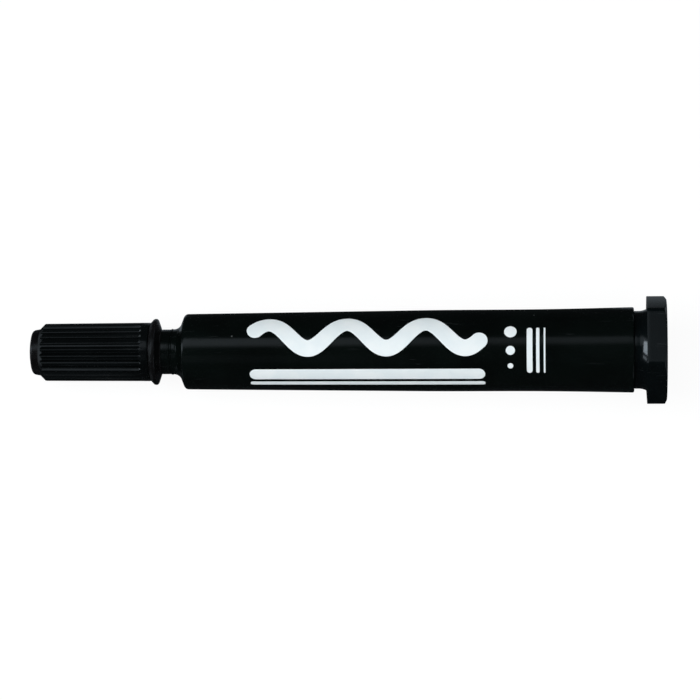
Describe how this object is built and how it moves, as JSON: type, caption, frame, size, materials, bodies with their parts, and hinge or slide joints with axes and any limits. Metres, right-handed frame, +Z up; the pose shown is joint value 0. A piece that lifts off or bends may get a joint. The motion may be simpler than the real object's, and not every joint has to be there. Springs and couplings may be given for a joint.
{
  "type": "permanent marker",
  "caption": "Capped permanent marker: tapered black barrel with a steep front shoulder, ribbed pull-off cap with a bell-shaped mouth, and a hexagonal rear plug.",
  "frame": {"origin": "centre of the flat rear face of the six-sided plug, on the marker's long axis", "axes": "+X along the marker out of the rear face, so the cap is at -X; +Z up through one flat of the plug's flange, and -Z down through the flat that it rolls to rest on"},
  "size_m": [0.135, 0.0234, 0.0206],
  "materials": {
    "barrel_plastic": "polished black moulded plastic with fine handling scratches",
    "plug_plastic": "satin black moulded plastic",
    "holder_plastic": "satin black moulded plastic",
    "cap_plastic": "satin black moulded plastic",
    "grip_plastic": "semi-matt black ribbed plastic",
    "nib_fibre": "bonded fibre soaked with black ink",
    "reservoir_fibre": "soft fibre soaked with black ink",
    "film": "thin milky wrapping film",
    "print_white": "thin opaque white printed ink"
  },
  "bodies": {
    "pen": {"barrel": "barrel_plastic", "rear_plug": "plug_plastic", "nib_holder": "holder_plastic", "nib": "nib_fibre", "ink_reservoir": "reservoir_fibre", "reservoir_film": "film"},
    "cap": {"inner_cap": "cap_plastic", "cap_grip_sleeve": "grip_plastic"}
  },
  "joints": [
    {"name": "cap_pull", "type": "slide", "parent": "pen", "child": "cap", "axis": [-1, 0, 0], "range_m": [0, 0.032]}
  ]
}
